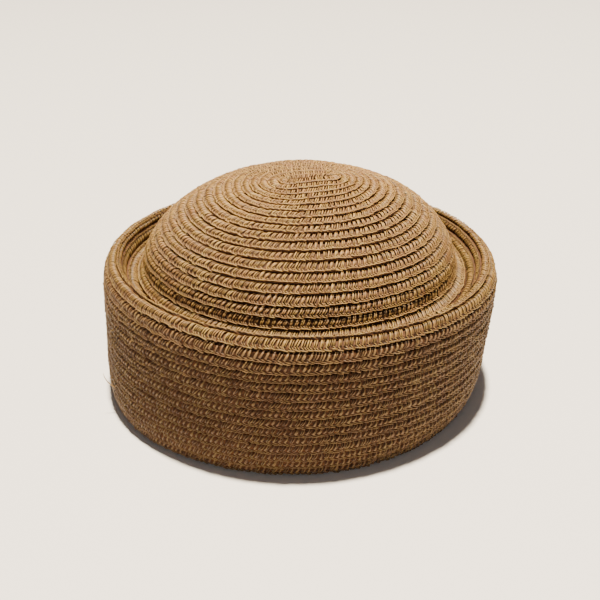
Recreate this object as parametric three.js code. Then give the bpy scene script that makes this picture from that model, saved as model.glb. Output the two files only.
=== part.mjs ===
// Straw beret: one straw braid sewn to itself in rows, from the middle of the crown down to the
// head opening. Millimetres, +Z up. The opening's edge lies on the plane z = 0.
//
// The wall follows one meridian, the curve from the middle of the crown over the dome, through a
// shallow groove, over the rolled rim and down the side. A place on it is given by its braid row:
// row 0 is the middle of the crown and each whole number is the free edge of a row.
import * as THREE from 'three';
import { mergeVertices } from 'three/addons/utils/BufferGeometryUtils.js';

// Driving sizes
const WALL = 2.2;            // two thicknesses of braid where the rows lap
const ROW_STEP = 0.5;        // a row's free edge stands this far out and its top edge this far in
const EDGE_SHARE = 0.12;     // the part of a row's width taken by the step down to the next row
const PIECE_GAP = 0.3;       // clearance between the pieces
const LAP_ROWS = 0.6;        // how far a piece reaches over the one below it, in rows
const BASE_FLAT = 2.0;       // width of the flat edge that the hat rests on
const SEGMENTS = 48;         // facets round the hat
const SKIN_ROWS = 2;         // rows between two points of the smooth inside
const RIM_SKIN_ROWS = 0.4;   // the same in the tight curves of the groove and the rim
const RIM_BENDS = 2;         // bends within each row there
const REACH = 0.1;           // rows to either side of a place that give its direction and pitch

// Lean of the soft hat: how far the middle of each level stands off the middle of the opening
const RIM_TOP = 72.3;
const RIM_LEAN = { x: 5.6, y: 0 };
const RIM_TILT = -1.5;       // the rim is this much lower on the +X side, higher on the -X side
const DOME_FOOT = 66;
const DOME_TOP = 109.3;
const DOME_LEAN = { x: 4.8, y: 3.9 };
const DOME_TOP_LEAN = 0.9;   // what the top of the dome leans further along +X
const GROOVE = { inside: 79.8, outside: 92.4 };
const GROOVE_LEVEL = 50;     // above this height a small radius belongs to the groove or the dome
const SAME_POINT = 1e-4;     // points closer than this are one

// The outside of the wall: braid row, radius and height
const MERIDIAN = [
  { row: 0.00, radius: 0.0, height: 109.3 },
  { row: 2.25, radius: 12.0, height: 108.8 },
  { row: 4.70, radius: 24.8, height: 107.3 },
  { row: 7.70, radius: 40.4, height: 104.0 },
  { row: 10.70, radius: 55.0, height: 97.8 },
  { row: 13.50, radius: 67.0, height: 89.0 },
  { row: 15.50, radius: 73.8, height: 80.9 },
  { row: 17.40, radius: 78.3, height: 71.9 },
  { row: 18.50, radius: 79.8, height: 65.9 },
  { row: 19.00, radius: 81.4, height: 63.7 },
  { row: 19.50, radius: 84.0, height: 63.0 },
  { row: 20.10, radius: 86.9, height: 64.4 },
  { row: 20.85, radius: 89.0, height: 67.8 },
  { row: 21.45, radius: 90.6, height: 70.8 },
  { row: 22.00, radius: 92.7, height: 72.3 },
  { row: 22.40, radius: 95.4, height: 71.6 },
  { row: 22.70, radius: 97.2, height: 69.7 },
  { row: 23.00, radius: 98.1, height: 67.3 },
  { row: 24.00, radius: 98.8, height: 61.8 },
  { row: 25.00, radius: 98.8, height: 57.0 },
  { row: 28.00, radius: 98.3, height: 43.0 },
  { row: 31.00, radius: 97.7, height: 30.0 },
  { row: 34.00, radius: 97.2, height: 16.0 },
  { row: 35.00, radius: 96.7, height: 11.0 },
  { row: 36.00, radius: 95.5, height: 6.0 },
  { row: 37.00, radius: 93.5, height: 1.2 },
];
const DOME_END = 19;
const RIM_END = 23;
const LAST_ROW = 37;

const STRAW = { dome: 0xb39363, rim: 0xb08a55, side: 0x8a6c48 };

const curve = new THREE.CubicInterpolant(
  MERIDIAN.map((point) => point.row),
  MERIDIAN.flatMap((point) => [point.radius, point.height]),
  2,
);

function onCurve(row) {
  const [radius, height] = curve.evaluate(THREE.MathUtils.clamp(row, 0, LAST_ROW));
  return new THREE.Vector2(radius, height);
}

// The point at a row, sunk by a depth from the outside towards the hollow
function wallPoint(row, depth) {
  const along = onCurve(row + REACH).sub(onCurve(row - REACH)).normalize();
  const inwards = new THREE.Vector2(along.y, -along.x);
  const point = onCurve(row).addScaledVector(inwards, depth);
  point.x = row === 0 ? 0 : point.x;
  return point;
}

// The outside between two rows, with each row's free edge standing over the next row. Each row is
// straight from its top to its free edge, or has some bends where the wall curves tightly.
function braidedSide(start, end, bends = 0) {
  const points = [];
  let top = start;
  let sunk = start === 0 ? 0 : ROW_STEP;
  for (let edge = Math.floor(start) + 1; edge <= end; edge++) {
    const freeEdge = edge - EDGE_SHARE / 2;
    for (let i = 0; i <= bends + 1; i++) {
      const share = i / (bends + 1);
      const row = THREE.MathUtils.lerp(top, freeEdge, share);
      points.push(wallPoint(row, THREE.MathUtils.lerp(sunk, -ROW_STEP, share)));
    }
    top = edge + EDGE_SHARE / 2;
    sunk = ROW_STEP;
  }
  return points;
}

// The smooth inside, from the later row back to the earlier one
function plainSide(start, end, rowsApart = SKIN_ROWS) {
  const steps = Math.max(1, Math.round((end - start) / rowsApart));
  const points = [];
  for (let i = steps; i >= 0; i--) points.push(wallPoint(start + ((end - start) * i) / steps, WALL));
  return points;
}

// The half lap between two pieces: the upper one covers the thin upper edge of the lower one
function upperLap(row) {
  const depth = (WALL + ROW_STEP - PIECE_GAP) / 2;
  return [wallPoint(row, depth), wallPoint(row - LAP_ROWS, depth)];
}

// The row just below a clearance, measured on the inside, where the rows are closest
function belowGap(row) {
  const pitch = wallPoint(row + REACH, WALL).distanceTo(wallPoint(row - REACH, WALL)) / (2 * REACH);
  return row + PIECE_GAP / pitch;
}

function lowerLap(row) {
  const depth = (WALL + ROW_STEP + PIECE_GAP) / 2;
  return [wallPoint(belowGap(row - LAP_ROWS), depth), wallPoint(belowGap(row), depth)];
}

// How far the middle of the ring at a radius and height stands off the axis
function leanAt(radius, height) {
  const up = Math.min(height / RIM_TOP, 1);
  const inDome = height < GROOVE_LEVEL ? 0
    : THREE.MathUtils.clamp((GROOVE.outside - radius) / (GROOVE.outside - GROOVE.inside), 0, 1);
  const rise = THREE.MathUtils.clamp((height - DOME_FOOT) / (DOME_TOP - DOME_FOOT), 0, 1);
  return {
    x: THREE.MathUtils.lerp(RIM_LEAN.x * up, DOME_LEAN.x + DOME_TOP_LEAN * rise, inDome),
    y: THREE.MathUtils.lerp(RIM_LEAN.y * up, DOME_LEAN.y, inDome),
    tilt: RIM_TILT * up * (1 - inDome),
  };
}

// An outline of radius and height, down the outside and up the inside, turned round the axis and
// leaned as the hat leans
function turned(outline) {
  const shape = new THREE.LatheGeometry([...outline].reverse(), SEGMENTS);
  shape.deleteAttribute('normal');
  shape.deleteAttribute('uv');
  const place = shape.attributes.position;
  for (let i = 0; i < place.count; i++) {
    const [x, height, z] = [place.getX(i), place.getY(i), place.getZ(i)];
    const radius = Math.hypot(x, z);
    const lean = leanAt(radius, height);
    const side = radius > 0 ? x / radius : 0;
    place.setXYZ(i, x + lean.x, -z + lean.y, height + lean.tilt * side);
  }
  const solid = mergeVertices(shape, SAME_POINT);
  solid.computeVertexNormals();
  return solid;
}

function piece(name, color, outline) {
  const material = new THREE.MeshStandardMaterial({ color, roughness: 0.75, metalness: 0 });
  const mesh = new THREE.Mesh(turned(outline), material);
  mesh.name = name;
  return mesh;
}

function crownDome() {
  const inside = plainSide(0, DOME_END - LAP_ROWS);
  return [...braidedSide(0, DOME_END), ...upperLap(DOME_END), ...inside];
}

function rimRoll() {
  const outline = [
    ...lowerLap(DOME_END),
    ...braidedSide(DOME_END + EDGE_SHARE / 2, RIM_END, RIM_BENDS),
    ...upperLap(RIM_END),
    ...plainSide(belowGap(DOME_END - LAP_ROWS), RIM_END - LAP_ROWS, RIM_SKIN_ROWS),
  ];
  return [...outline, outline[0].clone()];
}

function sideWall() {
  const foot = onCurve(LAST_ROW).x - ROW_STEP;
  const outline = [
    ...lowerLap(RIM_END),
    ...braidedSide(RIM_END + EDGE_SHARE / 2, LAST_ROW),
    new THREE.Vector2(foot, 0),
    new THREE.Vector2(foot - BASE_FLAT, 0),
    ...plainSide(belowGap(RIM_END - LAP_ROWS), LAST_ROW),
  ];
  return [...outline, outline[0].clone()];
}

const hat = new THREE.Group();
hat.add(
  piece('crown_dome', STRAW.dome, crownDome()),
  piece('rim_roll', STRAW.rim, rimRoll()),
  piece('side_wall', STRAW.side, sideWall()),
);

// The origin is under the middle of the hat's box, on the plane that it rests on
const middle = new THREE.Box3().setFromObject(hat).getCenter(new THREE.Vector3());
hat.position.set(-middle.x, -middle.y, 0);

export default hat;
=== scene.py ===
# %% [markdown]
# # A beret of sewn straw braid
# One long braid of straw is sewn to itself, row under row, in a spiral. It starts at the middle of
# the crown, goes over the dome, down into a shallow groove, over a rounded rim and down the side
# to the head opening. So the whole hat is one ribbon with a rule: this notebook first makes the
# ribbon flat, stitch after stitch, and then lays it along the spiral.

# %% Load the fixed frame
import bpy
import math
import numpy as np
from mathutils import Matrix, Vector


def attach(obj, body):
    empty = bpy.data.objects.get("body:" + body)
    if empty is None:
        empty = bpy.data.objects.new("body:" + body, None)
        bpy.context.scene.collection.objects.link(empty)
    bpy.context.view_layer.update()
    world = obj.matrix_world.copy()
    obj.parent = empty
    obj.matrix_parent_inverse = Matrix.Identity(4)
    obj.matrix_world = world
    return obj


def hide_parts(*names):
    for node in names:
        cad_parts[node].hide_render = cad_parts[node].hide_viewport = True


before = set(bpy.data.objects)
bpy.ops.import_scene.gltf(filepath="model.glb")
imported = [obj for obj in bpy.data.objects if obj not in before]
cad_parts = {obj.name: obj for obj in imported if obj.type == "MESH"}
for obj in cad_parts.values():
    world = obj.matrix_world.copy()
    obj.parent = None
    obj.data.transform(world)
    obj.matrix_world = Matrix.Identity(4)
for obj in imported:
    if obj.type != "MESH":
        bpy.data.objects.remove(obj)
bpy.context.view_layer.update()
MM = 0.001

# %% [markdown]
# ## The curve of the wall
# Every row of braid lies on one curve, from the middle of the crown down to the opening. The table
# gives it by braid row, radius and height, in millimetres. A cubic through the points gives a
# smooth curve, and its length from the crown's middle is the measure that the rows are laid by.

# %% The meridian as a table, and as a function of its own length
MERIDIAN = np.array([
    # row, radius, height
    (0.00, 0.0, 109.3), (2.25, 12.0, 108.8), (4.70, 24.8, 107.3), (7.70, 40.4, 104.0),
    (10.70, 55.0, 97.8), (13.50, 67.0, 89.0), (15.50, 73.8, 80.9), (17.40, 78.3, 71.9),
    (18.50, 79.8, 65.9), (19.00, 81.4, 63.7), (19.50, 84.0, 63.0), (20.10, 86.9, 64.4),
    (20.85, 89.0, 67.8), (21.45, 90.6, 70.8), (22.00, 92.7, 72.3), (22.40, 95.4, 71.6),
    (22.70, 97.2, 69.7), (23.00, 98.1, 67.3), (24.00, 98.8, 61.8), (25.00, 98.8, 57.0),
    (28.00, 98.3, 43.0), (31.00, 97.7, 30.0), (34.00, 97.2, 16.0), (35.00, 96.7, 11.0),
    (36.00, 95.5, 5.7), (37.00, 93.5, 0.4),
])


def smooth_table(x, xs, ys):
    """A cubic through table points, with the slope at each from its neighbours."""
    slopes = np.gradient(ys, xs)
    i = np.clip(np.searchsorted(xs, x) - 1, 0, len(xs) - 2)
    step = xs[i + 1] - xs[i]
    u = (x - xs[i]) / step
    start = (1 + 2 * u) * (1 - u) ** 2 * ys[i] + u * (1 - u) ** 2 * step * slopes[i]
    end = u * u * (3 - 2 * u) * ys[i + 1] + u * u * (u - 1) * step * slopes[i + 1]
    return start + end


def run_along(points):
    """How far along a line of points each of them is."""
    return np.concatenate([[0], np.cumsum(np.linalg.norm(np.diff(points, axis=0), axis=1))])


CURVE_POINTS = 4000
curve_rows = np.linspace(0, MERIDIAN[-1, 0], CURVE_POINTS)
curve_radius = smooth_table(curve_rows, MERIDIAN[:, 0], MERIDIAN[:, 1])
curve_height = smooth_table(curve_rows, MERIDIAN[:, 0], MERIDIAN[:, 2])
curve_length = run_along(np.stack([curve_radius, curve_height], -1))
print("curve from crown to opening", round(curve_length[-1], 1), "mm")

# %% [markdown]
# ## The lean
# A soft hat never stands quite true. The rim stands a little to one side of the opening and is
# tilted, and the dome has its own middle. Both follow the solids of the frame.

# %% Where the middle of each level is
OPENING_MIDDLE = (-3.8, 0.0)
RIM_TOP, RIM_LEAN, RIM_TILT = 72.3, 5.6, -1.5
DOME_FOOT, DOME_TOP = 66.0, 109.3
DOME_LEAN, DOME_TOP_LEAN = (4.8, 3.9), 0.9
GROOVE_INSIDE, GROOVE_OUTSIDE, GROOVE_LEVEL = 79.8, 92.4, 50.0


def leaned(radius, height, turn):
    """The point at a radius, height and direction, in millimetres, on the leaning hat."""
    up = np.minimum(height / RIM_TOP, 1)
    in_dome = np.clip((GROOVE_OUTSIDE - radius) / (GROOVE_OUTSIDE - GROOVE_INSIDE), 0, 1)
    in_dome = np.where(height < GROOVE_LEVEL, 0, in_dome)
    rise = np.clip((height - DOME_FOOT) / (DOME_TOP - DOME_FOOT), 0, 1)
    middle_x = RIM_LEAN * up * (1 - in_dome) + (DOME_LEAN[0] + DOME_TOP_LEAN * rise) * in_dome
    middle_y = DOME_LEAN[1] * in_dome
    tilt = RIM_TILT * up * (1 - in_dome) * np.cos(turn)
    return np.stack([radius * np.cos(turn) + middle_x + OPENING_MIDDLE[0],
                     radius * np.sin(turn) + middle_y + OPENING_MIDDLE[1],
                     height + tilt], -1)


# %% [markdown]
# ## The spiral
# The braid starts as a short straight strip and is turned back round its end, so the first rows
# are long ovals that grow round as they go out. `on_hat` gives the place of any point of the hat
# from its distance from that first strip and its direction.

# %% The oval start and the surface of the hat
START_HALF = 10.2
START_SHIFT = (3.0, 0.5)
START_AXIS = math.radians(18.4)
START_FADE = 25.0
START_SHARPNESS = 3.0
DENT = 0.35
DENT_WAVES = [
    # waves round the hat, distance over which a wave moves on, where it starts
    (3, 21, 0.0), (5, -34, 1.3),
]


def on_hat(distance, direction):
    """The point of the wall at a distance from the first strip and in a direction."""
    fade = np.exp(-(distance / START_FADE) ** 2)
    along = START_HALF * fade * np.clip(START_SHARPNESS * np.cos(direction - START_AXIS), -1, 1)
    flat_x = along * math.cos(START_AXIS) + START_SHIFT[0] * fade + distance * np.cos(direction)
    flat_y = along * math.sin(START_AXIS) + START_SHIFT[1] * fade + distance * np.sin(direction)
    reach = np.hypot(flat_x, flat_y)
    turn = np.arctan2(flat_y, flat_x)
    radius = np.interp(reach, curve_length, curve_radius)
    height = np.interp(reach, curve_length, curve_height)
    waves = sum(np.sin(waves * turn + reach / drift + start) for waves, drift, start in DENT_WAVES)
    return leaned(radius + DENT * waves * (1 - fade), height, turn)


# %% [markdown]
# The stitches stand on the wall, so the script has to know which way is out. That comes from two
# short steps on the wall, one down and one round: the way out is square to both.

# %% Which way is out
PROBE = 0.3
LEAST_RADIUS = 6.0


def outward_at(distance, direction):
    """The direction that points straight out of the wall."""
    down = on_hat(distance + PROBE, direction) - on_hat(np.maximum(distance - PROBE, 0), direction)
    angle = PROBE / np.maximum(distance, LEAST_RADIUS)
    sideways = on_hat(distance, direction + angle) - on_hat(distance, direction - angle)
    normal = np.cross(down, sideways)
    size = np.linalg.norm(normal, axis=-1, keepdims=True)
    return normal / np.maximum(size, 1e-9)


# %% [markdown]
# ## Where the rows lie
# A turn of the spiral is counted from the front. The table gives how far down the curve the free
# edge of the braid is after so many turns: the first rows and the one over the rim show more of
# the braid, the rows on the side a little less. A slight waver keeps the rows from looking drawn.

# %% Row edges along the spiral
ROWS = 37
LAST_TURN = ROWS + 1
FRONT = math.radians(270)
ROW_EDGES = np.array([
    # turns, distance
    (0, 0.0), (0.3, 2.3), (1, 7.05), (2, 13.5), (3, 19.3), (4, 24.9), (6, 35.7), (9, 51.4),
    (18, 98.7), (22, 118.4), (23, 125.3), (24, 131.2), (25, 136.2), (37, 192.9),
])
SLOW_WAVER, SLOW_PACE, SLOW_DRIFT = 0.16, 7.3, 3.1
FAST_WAVER, FAST_PACE = 0.10, 23.7


def row_edge(turns):
    """How far down the curve the braid's free edge lies after so many turns."""
    edge = np.interp(turns, ROW_EDGES[:, 0], ROW_EDGES[:, 1])
    slow = SLOW_WAVER * np.sin(SLOW_PACE * turns + 2 * np.sin(SLOW_DRIFT * turns))
    fast = FAST_WAVER * np.sin(FAST_PACE * turns)
    held = np.clip(turns, 0, 1) * np.clip(ROWS - turns, 0, 1)
    return edge + (slow + fast) * held


# %% [markdown]
# ## The length of the braid
# The stitches are spaced along the braid, so each turn has to be known as a length. The path down
# the middle of the row is walked in short steps, shorter still in the tight ovals of the crown.

# %% The middle of the braid as a path
OVAL_TURNS = 6
OVAL_STEP, ROUND_STEP = 1 / 720, 1 / 180
turn_steps = np.concatenate([
    np.arange(0, OVAL_TURNS, OVAL_STEP), np.arange(OVAL_TURNS, LAST_TURN + ROUND_STEP / 2, ROUND_STEP)])
row_middle = (row_edge(turn_steps - 1) + row_edge(turn_steps)) / 2
path_length = run_along(on_hat(row_middle, FRONT + 2 * math.pi * turn_steps))
print("braid length", round(path_length[-1] / 1000, 1), "m")


def along_at(turns):
    return float(np.interp(turns, turn_steps, path_length))


# %% [markdown]
# ## Across a row
# A row has a cord of straw along its free edge and straws that come down to it from under the row
# above. Where the rows stand steeply over each other, a dark gap shows between them. So a flat
# ribbon is stretched in two parts: the cord with the row, the straws only up to the gap.

# %% Lay a flat ribbon on the hat
SPAN = 5.3
CORD = 2.0
STRAW_TOP = 4.35
GAPS = np.array([
    # distance down the curve, dark gap between a row's free edge and the straws under it
    (0, 0.35), (30, 0.5), (60, 0.75), (98, 1.0), (112, 0.7), (126, 0.8), (192, 0.6),
])


def laid(along, up, out):
    """Points of a flat ribbon on the hat: along in mm of braid, up in mm from the middle of a row
    of the usual span, out in mm from the wall."""
    turns = np.interp(along, path_length, turn_steps)
    edge = row_edge(turns)
    span = edge - row_edge(turns - 1)
    cord = CORD * span / SPAN
    top = span - np.interp(edge, GAPS[:, 0], GAPS[:, 1])
    from_edge = up + SPAN / 2
    in_cord = from_edge * cord / CORD
    above_cord = cord + (from_edge - CORD) * (top - cord) / (STRAW_TOP - CORD)
    distance = np.maximum(edge - np.where(from_edge < CORD, in_cord, above_cord), 0)
    direction = FRONT + 2 * math.pi * turns
    return on_hat(distance, direction) + outward_at(distance, direction) * out[..., None]


# %% [markdown]
# ## One stitch
# Each stitch of the braid is a split straw that comes down from under the row above, leaning one
# way, folds, and runs on down to the free edge leaning the other way. Many straws have split in
# two or three. A strand as a low arch with a few faces is enough to catch the light on its back.

# %% Helper: an arched strand along a short path
ARCH = {2: [(-1, 0.0), (0, 1.0), (1, 0.0)],
        3: [(-1, 0.0), (-0.45, 0.85), (0.45, 0.85), (1, 0.0)],
        4: [(-1, 0.0), (-0.55, 0.9), (0.05, 0.7), (0.6, 1.0), (1, 0.0)]}


def strand(points, half_width, thickness, faces):
    """Corners, quads, rise and map of a strand along points, all flat, in millimetres."""
    points = np.array(points, float)
    ways = np.gradient(points, axis=0)
    sides = np.stack([-ways[:, 1], ways[:, 0]], -1)
    sides /= np.linalg.norm(sides, axis=1, keepdims=True)
    corners, rises, maps = [], [], []
    length = run_along(points)
    for point, side, width, run in zip(points, sides, half_width, length):
        for across, rise in ARCH[faces]:
            corners.append((point[0] + side[0] * across * width, point[1] + side[1] * across * width,
                            point[2] + rise * thickness))
            rises.append(rise)
            maps.append((across * width, run))
    wide = faces + 1
    quads = [(i * wide + j, (i + 1) * wide + j, (i + 1) * wide + j + 1, i * wide + j + 1)
             for i in range(len(points) - 1) for j in range(faces)]
    return corners, quads, rises, maps


# %% [markdown]
# A kind of stitch is a list of strands. The numbers are along the braid, up the braid and out of
# it, from the middle of the row, with the free edge at minus half a span.

# %% Helpers: the straws above the cord and those in it
UNDER_ROW_ABOVE = 2.5
UPPER_OFFSET = -0.8
STRAW_WIDTH = 0.8
UPPER_WIDTHS = (0.4, 0.55, 0.9, 1.0, 0.95, 0.55)
UPPER_THICKNESS = 0.6
LOW_WIDTHS = (0.5, 1.0, 1.0, 0.6)
LOW_THICKNESS = 0.35


def upper_straw(shift, half, faces, top=1.7, foot=-1.3, lean=0.55, lift=0.0):
    """A straw down to the cord. It dives under the row above at its pointed top, is widest in the
    middle, and its foot is narrow and dips, which leaves a hole to either side."""
    ups = [UNDER_ROW_ABOVE, top + 0.15, top - 0.4, (top + foot) / 2 + 0.1, foot + 0.6, foot]
    outs = [-1.8, -1.0, lift, 0.3 + lift, 0.1 + lift, -0.5]
    points = [(shift + (up - foot) * lean + UPPER_OFFSET, up, out) for up, out in zip(ups, outs)]
    return strand(points, [STRAW_WIDTH * half * w for w in UPPER_WIDTHS], UPPER_THICKNESS, faces)


def low_straw(shift, half, start, length, drop, lift=0.0):
    """A straw of the cord along the free edge. It leans the other way, or runs almost level."""
    points = [(shift - 0.5 * length, start, -0.45),
              (shift - 0.25 * length, start - 0.22 * drop, 0.1 + lift),
              (shift + 0.2 * length, start - 0.68 * drop, 0.2 + lift),
              (shift + 0.42 * length, start - drop, -0.35)]
    return strand(points, [half * w for w in LOW_WIDTHS], LOW_THICKNESS, 3)


# %% [markdown]
# On the dome the straws lie close, in pairs with a narrow gap between two stitches. No stitch is
# quite like the next one, so each list holds two pairs of kinds, and a number for each zone will
# say how often the second pair is used.

# %% The tight stitches of the dome
PITCH = 2.6
TIGHT_KINDS = {
    "tight_0": [upper_straw(-0.5, 0.5, 3, 1.7, -1.1, 0.44, 0.1), upper_straw(0.38, 0.48, 3, 1.6, -1.0, 0.44),
                low_straw(-0.7, 0.22, -0.9, 1.4, 1.3, 0.1), low_straw(0.6, 0.24, -1.0, 1.3, 1.2),
                low_straw(0, 0.28, -2.0, 3.6, 0.35, 0.15)],
    "tight_1": [upper_straw(-0.4, 0.58, 3, 1.85, -1.0, 0.4, 0.1), upper_straw(0.5, 0.4, 2, 1.6, -1.2, 0.46),
                low_straw(-0.6, 0.24, -0.95, 1.6, 1.2, 0.05), low_straw(0.8, 0.22, -0.9, 1.2, 1.3, 0.1),
                low_straw(0.1, 0.26, -1.95, 3.2, 0.45, 0.2)],
    "tight_2": [upper_straw(-0.6, 0.36, 2, 1.9, -1.0, 0.42), upper_straw(0, 0.36, 2, 1.7, -1.2, 0.46, 0.1),
                upper_straw(0.6, 0.34, 2, 1.55, -1.0, 0.42), low_straw(-0.4, 0.26, -0.9, 1.5, 1.35, 0.1),
                low_straw(0.2, 0.28, -2.0, 3.4, 0.4, 0.1)],
    "tight_3": [upper_straw(-0.2, 0.72, 4, 1.7, -1.1, 0.42, 0.1), upper_straw(0.68, 0.32, 2, 1.8, -0.9, 0.38),
                low_straw(-0.8, 0.22, -1.0, 1.2, 1.1), low_straw(0.4, 0.26, -0.9, 1.6, 1.3, 0.1),
                low_straw(0, 0.26, -1.95, 3.8, 0.4, 0.18)],
}

# %% [markdown]
# In the middle of the crown the braid is at its finest, with every straw apart from the next.

# %% The fine stitches of the crown
FINE_KINDS = {
    "fine_0": [upper_straw(-0.6, 0.5, 3, 1.7, -1.0), upper_straw(0.5, 0.48, 3, 1.6, -0.9, lift=-0.1),
               low_straw(-0.6, 0.24, -0.9, 1.4, 1.3, 0.1), low_straw(0.6, 0.26, -1.0, 1.4, 1.2, 0.05),
               low_straw(0, 0.28, -2.0, 3.6, 0.35, 0.1)],
    "fine_1": [upper_straw(-0.5, 0.58, 3, 1.85, -1.0, 0.5), upper_straw(0.65, 0.42, 2, 1.6, -1.1, 0.6, -0.1),
               low_straw(-0.5, 0.26, -0.95, 1.6, 1.2, 0.1), low_straw(0.8, 0.24, -0.9, 1.3, 1.3),
               low_straw(0, 0.26, -1.95, 3.4, 0.4, 0.1)],
    "fine_2": [upper_straw(-0.85, 0.34, 2, 1.9, -1.0), upper_straw(-0.1, 0.36, 2, 1.7, -1.1, 0.6, 0.1),
               upper_straw(0.65, 0.36, 2, 1.55, -0.9), low_straw(-0.2, 0.28, -0.9, 1.6, 1.35, 0.1),
               low_straw(0.1, 0.28, -2.0, 3.4, 0.4, 0.1)],
    "fine_3": [upper_straw(-0.3, 0.68, 4, 1.7, -1.0, 0.52), upper_straw(0.8, 0.34, 2, 1.8, -0.9, 0.45, -0.1),
               low_straw(-0.6, 0.24, -0.9, 1.3, 1.2, 0.05), low_straw(0.5, 0.26, -0.95, 1.5, 1.3, 0.1),
               low_straw(0, 0.28, -1.95, 3.6, 0.4, 0.1)],
}

# %% [markdown]
# Over the rim the rows are broad and the straws long, so each stitch is a little wider.

# %% The stitches of the rim
RIM_KINDS = {
    "rim_0": [upper_straw(-0.55, 0.58, 3, 1.8, -0.9, 0.44, 0.1), upper_straw(0.45, 0.54, 3, 1.7, -1.0, 0.44),
              low_straw(-0.6, 0.24, -0.9, 1.4, 1.2, 0.05), low_straw(0.6, 0.24, -1.0, 1.4, 1.2),
              low_straw(0.2, 0.28, -1.9, 3.4, 0.45, 0.1)],
    "rim_1": [upper_straw(-0.45, 0.66, 3, 1.85, -1.0, 0.4, 0.05), upper_straw(0.6, 0.46, 2, 1.6, -0.9, 0.46),
              low_straw(-0.5, 0.25, -0.85, 1.5, 1.2, 0.05), low_straw(0.7, 0.25, -0.95, 1.3, 1.2),
              low_straw(0.1, 0.28, -1.9, 3.6, 0.45, 0.1)],
    "rim_2": [upper_straw(-0.7, 0.42, 2, 1.9, -0.8, 0.42), upper_straw(0, 0.42, 2, 1.7, -1.0, 0.46, 0.1),
              upper_straw(0.68, 0.4, 2, 1.8, -0.9, 0.42), low_straw(0, 0.28, -0.9, 1.6, 1.2, 0.05),
              low_straw(0.2, 0.28, -1.9, 3.4, 0.45, 0.1)],
    "rim_3": [upper_straw(-0.25, 0.8, 4, 1.7, -1.0, 0.42, 0.05), upper_straw(0.78, 0.38, 2, 1.8, -0.9, 0.4),
              low_straw(-0.4, 0.26, -0.9, 1.5, 1.2, 0.05), low_straw(0, 0.28, -1.9, 3.6, 0.4, 0.1)],
}

# %% [markdown]
# Down the side the braid is worked more openly: broad single straws, holes between them, and a
# cord of longer strands.

# %% The open stitches of the side
OPEN_KINDS = {
    "open_0": [upper_straw(-0.5, 0.62, 3, 1.75, -0.9, 0.5, 0.1),
               upper_straw(0.4, 0.35, 2, 1.6, -0.8, 0.6, -0.3),
               low_straw(0.1, 0.27, -0.7, 3.2, 1.0), low_straw(0.2, 0.3, -1.8, 3.8, 0.5, 0.1)],
    "open_1": [upper_straw(-0.1, 0.88, 4, 1.65, -0.7, 0.42, 0.1), low_straw(0.1, 0.27, -0.6, 3.0, 1.2),
               low_straw(0.2, 0.3, -1.85, 4.0, 0.45, 0.05)],
    "open_2": [upper_straw(-0.6, 0.4, 2, 1.85, -0.7, 0.45, 0.1), upper_straw(0.15, 0.48, 3, 1.5, -1.0, 0.65),
               low_straw(-0.1, 0.28, -0.8, 2.8, 0.9, 0.05), low_straw(0.2, 0.32, -1.8, 3.4, 0.55, 0.12)],
    "open_3": [upper_straw(-0.3, 0.7, 4, 1.6, -1.0, 0.55, 0.1),
               upper_straw(0.75, 0.26, 2, 1.9, -0.5, 0.2, -0.3),
               low_straw(0.2, 0.25, -0.7, 3.4, 1.2), low_straw(0, 0.28, -1.8, 3.8, 0.5, 0.08)],
}

# %% [markdown]
# Inside the hat the same straws show from behind, where they are flatter and broader.

# %% The stitches of the inside
INNER_PITCH = 3.4
INNER_KINDS = {
    "inner_0": [upper_straw(-0.1, 0.95, 3, 2.0, -1.2, 0.5), low_straw(0.1, 0.5, -1.3, 3.2, 0.9)],
    "inner_1": [upper_straw(0.1, 0.8, 3, 2.1, -1.0, 0.6, 0.1), low_straw(-0.2, 0.6, -1.2, 3.0, 1.1)],
    "inner_2": [upper_straw(-0.3, 0.7, 3, 1.9, -1.2, 0.45), low_straw(0.3, 0.5, -1.4, 3.4, 0.8, 0.05)],
    "inner_3": [upper_straw(0.0, 1.05, 3, 2.0, -1.1, 0.55), low_straw(0.0, 0.55, -1.3, 3.2, 1.0)],
}

# %% [markdown]
# ## Shelves of stitches
# A node tree can pick from a collection, by number. So each list of kinds becomes a collection,
# a shelf that the stitches are taken from. Each mesh carries two things that the straw's finish
# will use: how high a point is on the strand's arch, and a map along and across the strand.

# %% Put the kinds on shelves
def shelf_of(name, kinds):
    shelf = bpy.data.collections.new(name)
    for kind, strands in kinds.items():
        corners, quads, rises, maps = [], [], [], []
        for points, faces, arch, places in strands:
            quads += [tuple(i + len(corners) for i in face) for face in faces]
            corners += points
            rises += arch
            maps += places
        mesh = bpy.data.meshes.new(kind)
        mesh.from_pydata([Vector(c) * MM for c in corners], [], quads)
        mesh.attributes.new("rise", "FLOAT", "POINT").data.foreach_set("value", rises)
        layer = mesh.uv_layers.new(name="StrandMap")
        for loop in mesh.loops:
            layer.data[loop.index].uv = maps[loop.vertex_index]
        mesh.polygons.foreach_set("use_smooth", [True] * len(mesh.polygons))
        shelf.objects.link(bpy.data.objects.new(kind, mesh))
        print(kind, 2 * len(quads), "triangles")
    return shelf


fine_shelf = shelf_of("fine_stitches", FINE_KINDS)
tight_shelf = shelf_of("tight_stitches", TIGHT_KINDS)
rim_shelf = shelf_of("rim_stitches", RIM_KINDS)
open_shelf = shelf_of("open_stitches", OPEN_KINDS)
inner_shelf = shelf_of("inner_stitches", INNER_KINDS)

# %% [markdown]
# ## The ribbon of stitches
# A stitch that repeats thousands of times along a line is what Geometry Nodes are for. The tree
# puts points on a straight line, one for each stitch, picks a kind for each, turns and sizes it a
# little at random, gives it a tone for its colour, and makes all of it real mesh at the end.

# %% Helper: a small builder for node trees
def add(tree, kind, **settings):
    node = tree.nodes.new(kind)
    for name, value in settings.items():
        setattr(node, name, value)
    return node


def wire(tree, *pairs):
    for source, target in pairs:
        tree.links.new(source, target)


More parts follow.
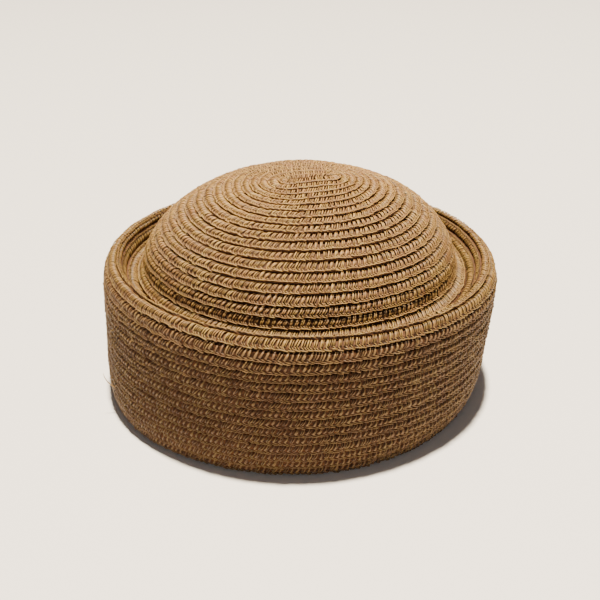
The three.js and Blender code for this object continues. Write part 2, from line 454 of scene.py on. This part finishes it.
# %% [markdown]
# The tree's inputs have names, so the same tree makes every stretch of the braid. Chance comes
# from one seed for a stretch, and each use of it adds a number of its own, so that a stitch's
# tone doesn't go with its size.

# %% Helpers: the tree's inputs, the points and chance
def ribbon_inputs(tree):
    face = tree.interface
    face.new_socket("Geometry", in_out="INPUT", socket_type="NodeSocketGeometry")
    for name, kind in (("Stitches", "Int"), ("Pitch", "Float"), ("Start", "Float"),
                       ("Split share", "Float"), ("Size change", "Float"), ("Turn change", "Float"),
                       ("Shift change", "Float"), ("Seed", "Int"), ("Kinds", "Collection"),
                       ("Finish", "Material")):
        face.new_socket(name, in_out="INPUT", socket_type="NodeSocket" + kind)
    face.new_socket("Geometry", in_out="OUTPUT", socket_type="NodeSocketGeometry")
    return add(tree, "NodeGroupInput").outputs


def points_in_line(tree, given):
    """One point for each stitch, a pitch apart."""
    step = add(tree, "ShaderNodeCombineXYZ")
    first = add(tree, "ShaderNodeCombineXYZ")
    line = add(tree, "GeometryNodeMeshLine", mode="OFFSET")
    wire(tree, (given["Pitch"], step.inputs["X"]), (given["Start"], first.inputs["X"]),
         (given["Stitches"], line.inputs["Count"]), (first.outputs[0], line.inputs["Start Location"]),
         (step.outputs[0], line.inputs["Offset"]))
    return line.outputs["Mesh"]


def chance(tree, given, data_type, low, high, salt):
    """A random value for each stitch. The salt is added to the seed."""
    node = add(tree, "FunctionNodeRandomValue", data_type=data_type)
    sockets = [s for s in node.inputs if s.enabled]
    sockets[0].default_value, sockets[1].default_value = low, high
    seed = add(tree, "ShaderNodeMath", operation="ADD")
    seed.inputs[1].default_value = salt
    wire(tree, (given["Seed"], seed.inputs[0]), (seed.outputs[0], node.inputs["Seed"]))
    return next(s for s in node.outputs if s.enabled)


# %% Helpers: which kind of stitch, and how uneven
def picked_kind(tree, given):
    """The number of a kind. The split share is the share of stitches from the second pair."""
    split = add(tree, "ShaderNodeMath", operation="LESS_THAN")
    pick = add(tree, "ShaderNodeMath", operation="MULTIPLY_ADD")
    pick.inputs[1].default_value = 2
    either = add(tree, "ShaderNodeMath", operation="ROUND")
    wire(tree, (chance(tree, given, "FLOAT", 0.0, 1.0, 11), split.inputs[0]),
         (given["Split share"], split.inputs[1]), (split.outputs[0], pick.inputs[0]),
         (chance(tree, given, "FLOAT", 0.0, 1.0, 12), either.inputs[0]),
         (either.outputs[0], pick.inputs[2]))
    return pick.outputs[0]


def uneven(tree, given, change, most, salt, around=(0, 0, 0)):
    """A vector for each stitch, up to the named change times `most` to either side of a middle."""
    spread = chance(tree, given, "FLOAT_VECTOR", tuple(-m for m in most), most, salt)
    vary = add(tree, "ShaderNodeVectorMath", operation="MULTIPLY_ADD")
    vary.inputs[2].default_value = around
    wire(tree, (spread, vary.inputs[0]), (given[change], vary.inputs[1]))
    return vary.outputs[0]


# %% The tree that makes a straight ribbon of stitches
def ribbon_tree():
    tree = bpy.data.node_groups.new("ribbon_of_stitches", "GeometryNodeTree")
    given = ribbon_inputs(tree)
    result = add(tree, "NodeGroupOutput")
    size = uneven(tree, given, "Size change", (1, 0.6, 1), 13, around=(1, 1, 1))
    turn = uneven(tree, given, "Turn change", (0.7, 0.5, 1), 14)
    shift = uneven(tree, given, "Shift change", (1, 1, 0.7), 16)

    shelf = add(tree, "GeometryNodeCollectionInfo")
    shelf.inputs["Separate Children"].default_value = True
    shelf.inputs["Reset Children"].default_value = True
    place = add(tree, "GeometryNodeInstanceOnPoints")
    place.inputs["Pick Instance"].default_value = True
    wire(tree, (given["Kinds"], shelf.inputs["Collection"]), (shelf.outputs[0], place.inputs["Instance"]),
         (points_in_line(tree, given), place.inputs["Points"]),
         (picked_kind(tree, given), place.inputs["Instance Index"]),
         (turn, place.inputs["Rotation"]), (size, place.inputs["Scale"]))
    move = add(tree, "GeometryNodeTranslateInstances")
    move.inputs["Local Space"].default_value = False
    wire(tree, (place.outputs[0], move.inputs["Instances"]), (shift, move.inputs["Translation"]))

    tone = add(tree, "GeometryNodeStoreNamedAttribute", data_type="FLOAT", domain="INSTANCE")
    tone.inputs["Name"].default_value = "tone"
    real = add(tree, "GeometryNodeRealizeInstances")
    finish = add(tree, "GeometryNodeSetMaterial")
    wire(tree, (move.outputs[0], tone.inputs["Geometry"]),
         (chance(tree, given, "FLOAT", 0.0, 1.0, 15), tone.inputs["Value"]),
         (tone.outputs[0], real.inputs["Geometry"]), (real.outputs[0], finish.inputs["Geometry"]),
         (given["Finish"], finish.inputs["Material"]), (finish.outputs[0], result.inputs[0]))
    return tree


STITCHES = ribbon_tree()
print("ribbon tree", len(STITCHES.nodes), "nodes")

# %% [markdown]
# ## Straw
# Dry straw is a pale, slightly glossy skin over pith. No two straws have the same colour: some are
# creamy, some golden or greenish, some brown. Each carries fine lines along its length. Where it
# dips between its neighbours its colour is darkened, as painted shade. Values stored on the mesh
# drive all this: the tone, the rise and the strand's own map. So one tree serves every straw, with no image.

# %% Helpers: a new material, colour stops and a changed range
def new_material(name):
    material = bpy.data.materials.new(name)
    material.use_nodes = True
    return material, material.node_tree, material.node_tree.nodes["Principled BSDF"]


def dimmed(stops, shares):
    """The same colours, with only a share of the red, green and blue."""
    return [(place, tuple(c * share for c, share in zip(color, shares))) for place, color in stops]


def ramp(tree, stops):
    node = add(tree, "ShaderNodeValToRGB")
    elements = node.color_ramp.elements
    while len(elements) < len(stops):
        elements.new(0.5)
    for element, (place, color) in zip(elements, stops):
        element.position = place
        element.color = (*color, 1)
    return node


def ranged(tree, value, source, target):
    """The value with its source range stretched to the target range."""
    node = add(tree, "ShaderNodeMapRange")
    for name, number in zip(("From Min", "From Max", "To Min", "To Max"), source + target):
        node.inputs[name].default_value = number
    wire(tree, (value, node.inputs["Value"]))
    return node.outputs[0]


# %% [markdown]
# The lines along a straw are noise on its own map, drawn out lengthwise. The tone moves each
# straw to another place in the noise, so that no two have the same lines.

# %% Helpers: lines along a straw, its tone, and painted shade in its dips
FIBRE_STRETCH = (5.5, 0.55, 1)
FIBRE_SHIFT = (0, 60, 90)
FIBRE_SCALE, PATCH_SCALE = 1.6, 55
PATCH_SHARE, PATCH_START = 0.5, -0.1
TONE_SHARE = 0.7


def fibres(tree, tone):
    place = add(tree, "ShaderNodeUVMap", uv_map="StrandMap")
    stretch = add(tree, "ShaderNodeVectorMath", operation="MULTIPLY")
    stretch.inputs[1].default_value = FIBRE_STRETCH
    apart = add(tree, "ShaderNodeVectorMath", operation="MULTIPLY_ADD")
    apart.inputs[1].default_value = FIBRE_SHIFT
    noise = add(tree, "ShaderNodeTexNoise")
    noise.inputs["Scale"].default_value = FIBRE_SCALE
    noise.inputs["Detail"].default_value = 3.0
    wire(tree, (place.outputs[0], stretch.inputs[0]), (tone.outputs["Vector"], apart.inputs[0]),
         (stretch.outputs[0], apart.inputs[2]), (apart.outputs[0], noise.inputs["Vector"]))
    return noise.outputs["Fac"]


def patchy_tone(tree, tone):
    """A straw's own tone, moved a little by patches that spread over many straws."""
    where = add(tree, "ShaderNodeTexCoord")
    patch = add(tree, "ShaderNodeTexNoise")
    patch.inputs["Scale"].default_value = PATCH_SCALE
    patch.inputs["Detail"].default_value = 2.0
    shifted = add(tree, "ShaderNodeMath", operation="MULTIPLY_ADD")
    shifted.inputs[1].default_value = PATCH_SHARE
    shifted.inputs[2].default_value = PATCH_START
    blend = add(tree, "ShaderNodeMath", operation="MULTIPLY_ADD")
    blend.inputs[1].default_value = TONE_SHARE
    wire(tree, (where.outputs["Object"], patch.inputs["Vector"]), (patch.outputs["Fac"], shifted.inputs[0]),
         (tone.outputs["Fac"], blend.inputs[0]), (shifted.outputs[0], blend.inputs[2]))
    return blend.outputs[0]


def fibres_and_dip_shade(tree, fibre, dip_shade):
    """How light a place is: less in the lines, and only the dip's share, as painted shade, between two
    straws.
    """
    rise = add(tree, "ShaderNodeAttribute", attribute_name="rise")
    both = add(tree, "ShaderNodeMath", operation="MULTIPLY")
    # Between two straws the colour falls to the dip's share: painted shade.
    wire(tree, (ranged(tree, fibre, (0.3, 0.7), (0.62, 1.08)), both.inputs[0]),
         (ranged(tree, rise.outputs["Fac"], (0.5, 0.85), (dip_shade, 1.0)), both.inputs[1]))
    return both.outputs[0]


# %% The straw's finish
def straw_material(name, stops, dip_shade):
    material, tree, skin = new_material(name)
    tone = add(tree, "ShaderNodeAttribute", attribute_name="tone")
    fibre = fibres(tree, tone)
    straw = ramp(tree, stops)
    color = add(tree, "ShaderNodeMix", data_type="RGBA", blend_type="MULTIPLY")
    color.inputs["Factor"].default_value = 1
    wire(tree, (patchy_tone(tree, tone), straw.inputs["Fac"]), (straw.outputs["Color"], color.inputs["A"]),
         (fibres_and_dip_shade(tree, fibre, dip_shade), color.inputs["B"]),
         (color.outputs["Result"], skin.inputs["Base Color"]))

    relief = add(tree, "ShaderNodeBump")
    relief.inputs["Strength"].default_value = 0.45
    relief.inputs["Distance"].default_value = 0.00012
    skin.inputs["Specular IOR Level"].default_value = 0.25
    wire(tree, (fibre, relief.inputs["Height"]), (relief.outputs[0], skin.inputs["Normal"]),
         (ranged(tree, fibre, (0.0, 1.0), (0.55, 0.38)), skin.inputs["Roughness"]))
    return material


# %% [markdown]
# Each zone takes its own share of the same five tones. The top and the dome keep nearly the full
# tones. The rim is browner and the side is darkest, as painted shade: under the lamp overhead they
# get less light than the dome.

# %% Straw for each zone
STRAW_TONES = [
    (0.0, (0.28, 0.125, 0.045)), (0.2, (0.41, 0.215, 0.085)), (0.5, (0.45, 0.25, 0.086)),
    (0.75, (0.47, 0.27, 0.084)), (1.0, (0.58, 0.37, 0.13)),
]
TOP_SHARES = (1.05, 1.06, 1.0)
DOME_SHARES = (1.0, 1.02, 1.0)
# The rim's and the side's lower shares are painted shade.
RIM_SHADE_SHARES = (0.74, 0.76, 0.68)
SIDE_SHADE_SHARES = (0.58, 0.58, 0.66)
INNER_SHARES = (0.9, 0.9, 0.9)
# The last number of each finish is its dip's share, the painted shade between two straws.
TOP_STRAW = straw_material("top_straw", dimmed(STRAW_TONES, TOP_SHARES), 0.15)
DOME_STRAW = straw_material("dome_straw", dimmed(STRAW_TONES, DOME_SHARES), 0.08)
RIM_SHADED_STRAW = straw_material("rim_straw_painted_shade", dimmed(STRAW_TONES, RIM_SHADE_SHARES), 0.1)
SIDE_SHADED_STRAW = straw_material("side_straw_painted_shade", dimmed(STRAW_TONES, SIDE_SHADE_SHARES), 0.25)
INNER_STRAW = straw_material("inner_straw", dimmed(STRAW_TONES, INNER_SHARES), 0.45)

# %% [markdown]
# Behind the stitches the hidden parts of the braid close every gap. There the straw lies in its own
# shade, so this layer is painted a deep brown, as painted shade, with a rough grain. A value on the
# mesh tells the bare steps between the rows from the places that more straw fills; each has its own
# painted brown.

# %% The hidden straw's finish, painted shade
def hidden_shade_material():
    material, tree, skin = new_material("hidden_straw_painted_shade")
    where = add(tree, "ShaderNodeTexCoord")
    grain = add(tree, "ShaderNodeTexNoise")
    grain.inputs["Scale"].default_value = 900
    grain.inputs["Detail"].default_value = 2.0
    # Both browns are painted shade: dark colour for straw that lies out of the light.
    bare_step_shade = ramp(tree, [(0.3, (0.045, 0.015, 0.003)), (0.7, (0.13, 0.045, 0.009))])
    filled_step_shade = ramp(tree, [(0.3, (0.035, 0.013, 0.004)), (0.7, (0.11, 0.047, 0.013))])
    fill = add(tree, "ShaderNodeAttribute", attribute_name="fill")
    brown = add(tree, "ShaderNodeMix", data_type="RGBA")
    relief = add(tree, "ShaderNodeBump")
    relief.inputs["Strength"].default_value = 0.6
    relief.inputs["Distance"].default_value = 0.0003
    skin.inputs["Roughness"].default_value = 0.85
    wire(tree, (where.outputs["Object"], grain.inputs["Vector"]), (grain.outputs["Fac"], bare_step_shade.inputs["Fac"]),
         (grain.outputs["Fac"], filled_step_shade.inputs["Fac"]), (fill.outputs["Fac"], brown.inputs["Factor"]),
         (bare_step_shade.outputs["Color"], brown.inputs["A"]), (filled_step_shade.outputs["Color"], brown.inputs["B"]),
         (brown.outputs["Result"], skin.inputs["Base Color"]),
         (grain.outputs["Fac"], relief.inputs["Height"]), (relief.outputs[0], skin.inputs["Normal"]))
    return material


HIDDEN_SHADE_STRAW = hidden_shade_material()

# %% [markdown]
# ## Laying the ribbon
# The tree's result is a straight ribbon. The export needs plain meshes, so the modifier's result
# is copied as one, and the object that carried it goes away. Each point of the plain ribbon can
# then be laid on the hat: along the ribbon becomes along the spiral, across it becomes down.

# %% Helpers: the modifier's result as a plain mesh
def shown(name, data):
    thing = bpy.data.objects.new(name, data)
    bpy.context.scene.collection.objects.link(thing)
    return thing


def set_inputs(modifier, tree, values):
    for item in tree.interface.items_tree:
        if item.in_out == "INPUT" and item.name in values:
            modifier[item.identifier] = values[item.name]


def made_plain(carrier, name):
    """The evaluated carrier as a new mesh object, with the carrier taken away."""
    evaluated = carrier.evaluated_get(bpy.context.evaluated_depsgraph_get())
    mesh = bpy.data.meshes.new_from_object(evaluated)
    bpy.data.objects.remove(carrier)
    mesh.name = name
    return shown(name, mesh)


def flat_corners(piece):
    """The ribbon's points in millimetres."""
    flat = np.empty(len(piece.data.vertices) * 3, np.float32)
    piece.data.vertices.foreach_get("co", flat)
    return flat.reshape(-1, 3).astype(float) / MM


def move_corners(piece, places, lowest):
    """Puts the points at new places, none of them lower than the given height."""
    places[:, 2] = np.maximum(places[:, 2], lowest)
    piece.data.vertices.foreach_set("co", (places * MM).ravel())
    piece.data.update()
    print(piece.name, sum(len(p.vertices) - 2 for p in piece.data.polygons), "triangles")


# %% A stretch of flat ribbon
SIZE_CHANGE, TURN_CHANGE, SHIFT_CHANGE = 0.15, 0.12, 0.16


def ribbon(name, first_turn, last_turn, kinds, pitch, split_share, changes, finish, seed):
    start, end = along_at(first_turn), along_at(last_turn)
    count = round((end - start) / pitch)
    pitch = (end - start) / count
    carrier = shown(name + "_carrier", bpy.data.meshes.new(name))
    modifier = carrier.modifiers.new("stitches", "NODES")
    modifier.node_group = STITCHES
    set_inputs(modifier, STITCHES, {
        "Stitches": count, "Pitch": pitch * MM, "Start": (start + pitch / 2) * MM,
        "Split share": split_share, "Size change": SIZE_CHANGE * changes,
        "Turn change": TURN_CHANGE * changes, "Shift change": SHIFT_CHANGE * changes * MM,
        "Seed": seed, "Kinds": kinds, "Finish": finish})
    return made_plain(carrier, name)


# %% [markdown]
# ## The outside
# Sewn braid stands out at its free edge and is held down at its upper edge by the row above. The
# crown is pressed flatter than the side. Two tables give how much, down the curve.

# %% How far the free edges stand out
EDGE_LIFT = np.array([
    # distance down the curve, lift of the free edge and sinking of the upper edge
    (0, 0.12), (40, 0.16), (60, 0.22), (80, 0.3), (98, 0.4), (112, 0.3), (126, 0.3), (192, 0.25),
])
RELIEF = np.array([
    # distance down the curve, share of a stitch's full relief: the crown is pressed flatter
    (0, 0.6), (35, 0.65), (98, 0.7), (126, 0.7), (133, 1.0), (192, 1.0),
])
SUNK = 0.35
TILT_ENDS = (-0.3, 1.05)
RIPPLE, RIPPLE_LENGTHS = 0.12, (4.1, 17.3)
LOWEST_OUTSIDE = 0.15


def for_row(along, table):
    edge = row_edge(np.interp(along, path_length, turn_steps))
    return np.interp(edge, table[:, 0], table[:, 1])


def lay_outside(piece):
    flat = flat_corners(piece)
    across = 0.5 - flat[:, 1] / SPAN
    short, long = RIPPLE_LENGTHS
    ripple = RIPPLE * np.sin(flat[:, 0] / short) * np.sin(flat[:, 0] / long + 1)
    tilt = for_row(flat[:, 0], EDGE_LIFT) * (2 * np.clip(across, *TILT_ENDS) - 1)
    out = flat[:, 2] * for_row(flat[:, 0], RELIEF) + tilt - SUNK + ripple
    move_corners(piece, laid(flat[:, 0], flat[:, 1], out), LOWEST_OUTSIDE)


# %% [markdown]
# The braid is cut into stretches by zone, each with its own kinds of stitch and its own straw
# finish; the rim's and the side's finish is darkened as painted shade.
# That also keeps every piece to a size that is easy to handle.

# %% Lay the outside of the braid
BRAIDS = {
    # piece: first turn, last turn, kinds, pitch, share of the second pair, changes, finish, seed
    "apex_braid": (0.3, 8.5, fine_shelf, PITCH, 0.4, 1.1, TOP_STRAW, 2),
    "dome_braid_upper": (8.5, 12.5, tight_shelf, PITCH, 0.4, 1.2, DOME_STRAW, 3),
    "dome_braid_lower": (12.5, 18.5, tight_shelf, PITCH, 0.4, 1.1, DOME_STRAW, 4),
    "rim_braid": (18.5, 23.5, rim_shelf, PITCH, 0.5, 1.0, RIM_SHADED_STRAW, 5),
    "side_braid_upper": (23.5, 30.5, open_shelf, PITCH, 0.6, 1.2, SIDE_SHADED_STRAW, 7),
    "side_braid_lower": (30.5, 37.6, open_shelf, PITCH, 0.7, 1.2, SIDE_SHADED_STRAW, 9),
}
braid_pieces = {}
for name, plan in BRAIDS.items():
    braid_pieces[name] = ribbon(name, *plan)
    lay_outside(braid_pieces[name])

# %% [markdown]
# ## The inside
# Inside, the back of the same braid shows: broader, flatter straws, turned over. They are laid
# just behind the wall's inner skin, so that they stand out of it into the hollow.

# %% Lay the inside of the braid
WALL = 2.2
INNER_DEPTH = 2.7
INNER_RELIEF = 0.7
LOWEST_INSIDE = 0.4


def lay_inside(piece):
    flat = flat_corners(piece)
    turns = np.interp(flat[:, 0], path_length, turn_steps)
    edge = row_edge(turns)
    span = edge - row_edge(turns - 1)
    distance = np.clip(edge - span * (0.5 - flat[:, 1] / SPAN), 0, row_edge(ROWS))
    depth = INNER_DEPTH + INNER_RELIEF * flat[:, 2]
    direction = FRONT + 2 * math.pi * turns
    places = on_hat(distance, direction) - outward_at(distance, direction) * depth[:, None]
    move_corners(piece, places, LOWEST_INSIDE)


INNER_BRAIDS = {
    "inner_braid_crown": (0.02, 19.0, inner_shelf, INNER_PITCH, 0.5, 1.0, INNER_STRAW, 21),
    "inner_braid_side": (19.0, 37.0, inner_shelf, INNER_PITCH, 0.5, 1.0, INNER_STRAW, 22),
}
for name, plan in INNER_BRAIDS.items():
    braid_pieces[name] = ribbon(name, *plan)
    lay_inside(braid_pieces[name])

# %% [markdown]
# ## A loose end
# One straw has worked loose at the left of the side wall and sticks up and out, thin and slightly
# curved. A bare strand is a narrow tube with a few corners round it, closed at both ends. Its path
# is a list of given points, because a loose end follows no rule.

# %% The loose straw end
LOOSE_ROOT = (-90.2, -38.4, 13.0)
LOOSE_PATH = [(0, 0, 0), (-1.6, -0.9, 1.4), (-3.3, -1.5, 3.2),
              (-4.9, -1.9, 5.4), (-6.0, -2.1, 7.9), (-6.6, -2.0, 10.4)]
LOOSE_HALF = [0.34, 0.32, 0.3, 0.26, 0.2, 0.08]
LOOSE_SIDES = 5
LOOSE_FLATNESS = 0.6
LOOSE_RISE, LOOSE_TONE = 0.9, 0.45


def loose_straw():
    points = np.array(LOOSE_PATH) + LOOSE_ROOT
    ways = np.gradient(points, axis=0)
    corners, maps = [], []
    run = 0.0
    for i, (point, way, half) in enumerate(zip(points, ways, LOOSE_HALF)):
        first = np.cross(way, (0, 1, 0))
        first /= np.linalg.norm(first)
        second = np.cross(way, first)
        second /= np.linalg.norm(second)
        run += np.linalg.norm(points[i] - points[max(i - 1, 0)])
        for j in range(LOOSE_SIDES):
            angle = 2 * math.pi * j / LOOSE_SIDES
            sideways = first * math.cos(angle) + LOOSE_FLATNESS * second * math.sin(angle)
            corners.append(point + half * sideways)
            maps.append((half * math.sin(angle), run))
    quads = []
    for i in range(len(points) - 1):
        for j in range(LOOSE_SIDES):
            k = (j + 1) % LOOSE_SIDES
            low, high = i * LOOSE_SIDES, (i + 1) * LOOSE_SIDES
            quads.append((low + j, low + k, high + k, high + j))
    root = tuple(range(LOOSE_SIDES))[::-1]
    tip = tuple(range(len(corners) - LOOSE_SIDES, len(corners)))
    mesh = bpy.data.meshes.new("loose_straw_end")
    mesh.from_pydata([tuple(c * MM) for c in corners], [], quads + [root, tip])
    for name, value in (("rise", LOOSE_RISE), ("tone", LOOSE_TONE)):
        stored = mesh.attributes.new(name, "FLOAT", "POINT")
        stored.data.foreach_set("value", [value] * len(corners))
    layer = mesh.uv_layers.new(name="StrandMap")
    for loop in mesh.loops:
        layer.data[loop.index].uv = maps[loop.vertex_index]
    mesh.materials.append(DOME_STRAW)
    print("loose_straw_end", round(run, 1), "mm long")
    return shown("loose_straw_end", mesh)


loose_piece = loose_straw()

# %% [markdown]
# ## The layer behind the stitches
# The hidden straw is one closed skin: an outer side in steps, one for each row, and an inner side.
# Both follow the spiral, so each row's lower edge meets the next row's upper edge a turn later.
# A shape that is so regular is quickest as lists of points and faces, worked out by a rule.

# %% Helpers: the points and faces of the skin
PER_TURN = 96
OUTER_STEPS = [
    # across the row, depth behind the stitches, how far straw fills it
    (0.0, 2.4, 0.0), (0.15, 2.0, 0.0), (0.27, 0.7, 0.8),
    (0.7, 0.4, 1.0), (0.88, 0.45, 0.6), (0.97, 1.0, 0.0),
]
INNER_STEPS = [(0.0, WALL, 0.8), (1.0, WALL, 0.8)]
FILL = np.array([
    # distance down the curve, how tightly the straws lie there
    (0, 1.0), (122, 1.0), (130, 0.15), (192, 0.1),
])
LOWEST_BACKING = 0.3


def skin_side(steps, turns, upper, lower):
    """The points of one side, and how far straw fills each of them."""
    direction = FRONT + 2 * math.pi * turns
    lift = np.interp(lower, EDGE_LIFT[:, 0], EDGE_LIFT[:, 1])
    rows = []
    for across, depth, fill in steps:
        out = lift * (2 * across - 1) - SUNK - depth
        distance = np.maximum(upper + across * (lower - upper), 0)
        rows.append(on_hat(distance, direction) + outward_at(distance, direction) * out[:, None])
    fills = np.outer(np.interp(lower, FILL[:, 0], FILL[:, 1]), [fill for across, depth, fill in steps])
    return np.stack(rows, 1).reshape(-1, 3), fills.ravel()


def skin_faces(base, wide, count):
    """Faces across each row, then those from a row's lower edge to the next row's upper edge."""
    faces = []
    for i in range(count):
        for corner in range(base + i * wide, base + i * wide + wide - 1):
            faces.append((corner, corner + 1, corner + wide + 1, corner + wide))
    for i in range(count - PER_TURN):
        lower, upper = base + i * wide + wide - 1, base + (i + PER_TURN) * wide
        faces.append((lower, upper, upper + wide, lower + wide))
    return faces


# %% The backing as a closed skin
def backing():
    count = LAST_TURN * PER_TURN
    turns = np.arange(count + 1) / PER_TURN
    upper, lower = row_edge(np.clip(turns - 1, 0, ROWS)), row_edge(np.minimum(turns, ROWS))
    outside, outer_fills = skin_side(OUTER_STEPS, turns, upper, lower)
    inside, inner_fills = skin_side(INNER_STEPS, turns, upper, lower)
    wide, inner_wide = len(OUTER_STEPS), len(INNER_STEPS)
    quads = skin_faces(0, wide, count)
    quads += [face[::-1] for face in skin_faces(len(outside), inner_wide, count)]
    for i in range(count - PER_TURN, count):
        outer_edge = i * wide + wide - 1
        inner_edge = len(outside) + i * inner_wide + inner_wide - 1
        quads.append((outer_edge, inner_edge, inner_edge + inner_wide, outer_edge + wide))
    corners = np.concatenate([outside, inside])
    corners[:, 2] = np.maximum(corners[:, 2], LOWEST_BACKING)
    mesh = bpy.data.meshes.new("braid_backing")
    mesh.from_pydata([tuple(c) for c in corners * MM], [], quads)
    stored = mesh.attributes.new("fill", "FLOAT", "POINT")
    stored.data.foreach_set("value", np.concatenate([outer_fills, inner_fills]))
    mesh.materials.append(HIDDEN_SHADE_STRAW)
    return shown("braid_backing", mesh)


backing_piece = backing()
print("braid_backing", 2 * len(backing_piece.data.polygons), "triangles")

# %% [markdown]
# ## Pieces on the frame
# Each part of the braid stands for the solid of its zone, and all ride on the one body.

# %% Tell the frame what stands for what
STANDS_FOR = {
    "apex_braid": ["crown_dome"],
    "dome_braid_upper": ["crown_dome"],
    "dome_braid_lower": ["crown_dome"],
    "rim_braid": ["rim_roll"],
    "side_braid_upper": ["side_wall"],
    "side_braid_lower": ["side_wall"],
    "inner_braid_crown": ["crown_dome", "rim_roll"],
    "inner_braid_side": ["side_wall"],
}
for name, piece in braid_pieces.items():
    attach(piece, "root")
    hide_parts(*STANDS_FOR[name])
    print(name, "stands for", *STANDS_FOR[name])
for piece in (backing_piece, loose_piece):
    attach(piece, "root")

# %% [markdown]
# ## Floor
# The hat stands on a plain pale floor, so that nothing but its own shadow is next to it. The
# floor belongs to the stage and not to the hat.

# %% The floor
FLOOR_HALF = 4.0


def floor():
    mesh = bpy.data.meshes.new("floor")
    corners = [(x * FLOOR_HALF, y * FLOOR_HALF, 0) for x, y in ((-1, -1), (1, -1), (1, 1), (-1, 1))]
    mesh.from_pydata(corners, [], [(0, 1, 2, 3)])
    material, _, skin = new_material("pale_floor")
    skin.inputs["Base Color"].default_value = (0.78, 0.75, 0.72, 1)
    skin.inputs["Roughness"].default_value = 0.6
    mesh.materials.append(material)
    shown("floor", mesh)


floor()

# %% [markdown]
# ## Light
# A warm lamp straight overhead gives the hat its bright dome, its darker side and the short dark
# shadow at its foot. A weak wide ceiling and a cool light from the front keep the side from going
# black. Each is an area light, because a light with a size gives a shadow with a soft edge.

# %% The lights
HAT_MIDDLE = (0, 0, 0.05)


def area_light(name, place, size, power, color):
    light = bpy.data.lights.new(name, "AREA")
    light.shape = "DISK"
    light.size = size
    light.energy = power
    light.color = color
    lamp = shown(name, light)
    lamp.location = place
    lamp.rotation_euler = (Vector(HAT_MIDDLE) - Vector(place)).to_track_quat("-Z", "Y").to_euler()
    print(name, power, "W")


area_light("lamp_overhead", (0.08, -0.03, 4.0), 0.25, 740, (1.0, 0.88, 0.7))
area_light("bright_ceiling", (0, 0, 1.6), 3.0, 1.5, (1.0, 0.92, 0.8))
area_light("room_in_front", (0.1, -1.6, 1.2), 1.2, 4.5, (0.95, 0.97, 1.0))
world = bpy.data.worlds.new("room_light")
bpy.context.scene.world = world
world.use_nodes = True
background = world.node_tree.nodes["Background"]
background.inputs["Color"].default_value = (0.82, 0.9, 1.0, 1)
background.inputs["Strength"].default_value = 0.05

# %% [markdown]
# ## Camera
# The camera looks down on the hat as someone who stands in front of it does. It is placed by the
# point that it aims at, its distance from there and its elevation, which are easier to change one
# by one than its coordinates are.

# %% The camera
AIM = (0.7 * MM, 0.0, 42.8 * MM)
CAMERA_FROM_AIM = 521.2 * MM
ELEVATION = math.radians(26.67)
ROLL = math.radians(-0.4)
LENS, SENSOR = 60, 36
camera_data = bpy.data.cameras.new("camera")
camera_data.lens = LENS
camera_data.sensor_width = SENSOR
camera = shown("camera", camera_data)
camera.location = (AIM[0], AIM[1] - CAMERA_FROM_AIM * math.cos(ELEVATION),
                   AIM[2] + CAMERA_FROM_AIM * math.sin(ELEVATION))
turned_up = Matrix.Rotation(math.pi / 2 - ELEVATION, 3, "X")
camera.rotation_euler = (turned_up @ Matrix.Rotation(ROLL, 3, "Z")).to_euler()
bpy.context.scene.camera = camera

# %% [markdown]
# ## Finish
# The shelves have done their work and are taken away.

# %% Take the shelves away
for shelf in (fine_shelf, tight_shelf, rim_shelf, open_shelf, inner_shelf):
    bpy.data.collections.remove(shelf)
